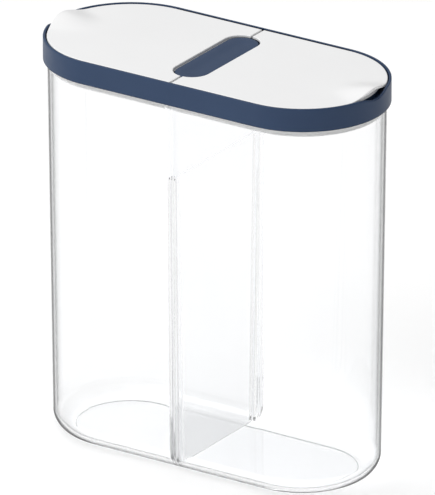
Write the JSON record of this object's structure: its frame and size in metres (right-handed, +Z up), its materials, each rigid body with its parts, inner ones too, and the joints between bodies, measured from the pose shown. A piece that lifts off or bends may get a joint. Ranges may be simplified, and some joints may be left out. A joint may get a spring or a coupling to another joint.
{
  "type": "cereal dispenser",
  "caption": "Clear upright dry-food container with an upright divider and a lift-off lid with two flip-up pouring flaps.",
  "frame": {"origin": "centre of the base, on the surface that the container stands on", "axes": "+Z up, +X along the length towards the right-hand flap, +Y across the width towards the back"},
  "size_m": [0.24, 0.111, 0.2704],
  "materials": {
    "clear_plastic": "polished clear moulding",
    "navy_plastic": "satin moulded plastic",
    "white_plastic": "satin moulded plastic",
    "white_silicone": "matte silicone"
  },
  "bodies": {
    "container": {"container": "clear_plastic"},
    "divider": {"divider": "clear_plastic"},
    "lid": {"lid_frame": "navy_plastic", "lid_gasket": "white_silicone", "hinge_cover": "navy_plastic"},
    "left_flap": {"left_flap": "white_plastic", "left_flap_seal": "white_silicone"},
    "right_flap": {"right_flap": "white_plastic", "right_flap_seal": "white_silicone"}
  },
  "joints": [
    {"name": "lid_lift", "type": "slide", "parent": "container", "child": "lid", "axis": [0, 0, 1], "range_m": [0, 0.28]},
    {"name": "divider_lift", "type": "slide", "parent": "container", "child": "divider", "axis": [0, 0, 1], "range_m": [0, 0.252]},
    {"name": "left_flap_hinge", "type": "hinge", "parent": "lid", "child": "left_flap", "pos_m": [-0.0042, 0, 0.2638], "axis": [0, 1, 0], "range_deg": [0, 85]},
    {"name": "right_flap_hinge", "type": "hinge", "parent": "lid", "child": "right_flap", "pos_m": [0.0042, 0, 0.2638], "axis": [0, -1, 0], "range_deg": [0, 85]}
  ],
  "couplings": [
    {"joint": "divider_lift", "follows": "lid_lift", "ratio": 0.9}
  ]
}
